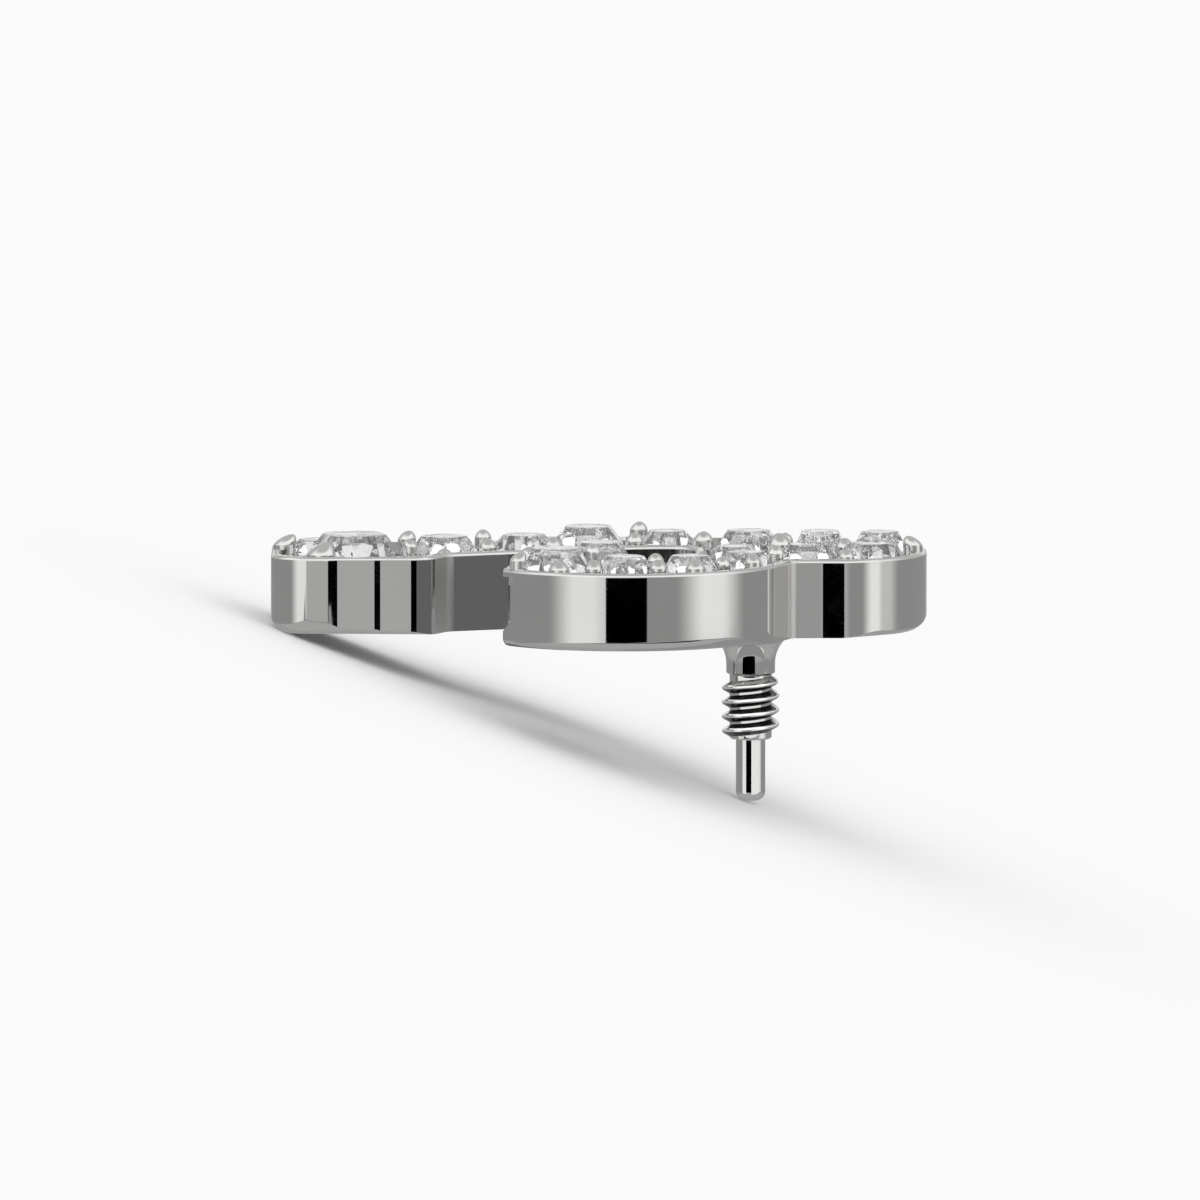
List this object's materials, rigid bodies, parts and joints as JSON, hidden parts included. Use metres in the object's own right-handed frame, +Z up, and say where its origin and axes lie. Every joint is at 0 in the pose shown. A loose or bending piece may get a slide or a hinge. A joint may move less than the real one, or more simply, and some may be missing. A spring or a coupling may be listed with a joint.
{
  "type": "threaded piercing top",
  "caption": "Hook-shaped metal piercing top set with clear round stones, on a threaded post with a smooth guide pin that screws into an internally threaded bar.",
  "frame": {"origin": "middle of the base of the whole box, on the surface that the piece lies on", "axes": "+X to the right along the plate as seen from its front, +Y from the front wall to the back, +Z up"},
  "size_m": [0.01, 0.0064, 0.0048],
  "materials": {
    "metal": "mirror polished",
    "stone": "clear, faceted"
  },
  "bodies": {
    "root": {"setting": "metal", "stone_01": "stone", "stone_02": "stone", "stone_03": "stone", "stone_04": "stone", "stone_05": "stone", "stone_06": "stone", "stone_07": "stone", "stone_08": "stone", "stone_09": "stone", "stone_10": "stone", "stone_11": "stone", "stone_12": "stone", "stone_13": "stone", "stone_14": "stone", "stone_15": "stone", "stone_16": "stone", "stone_17": "stone"}
  },
  "joints": []
}
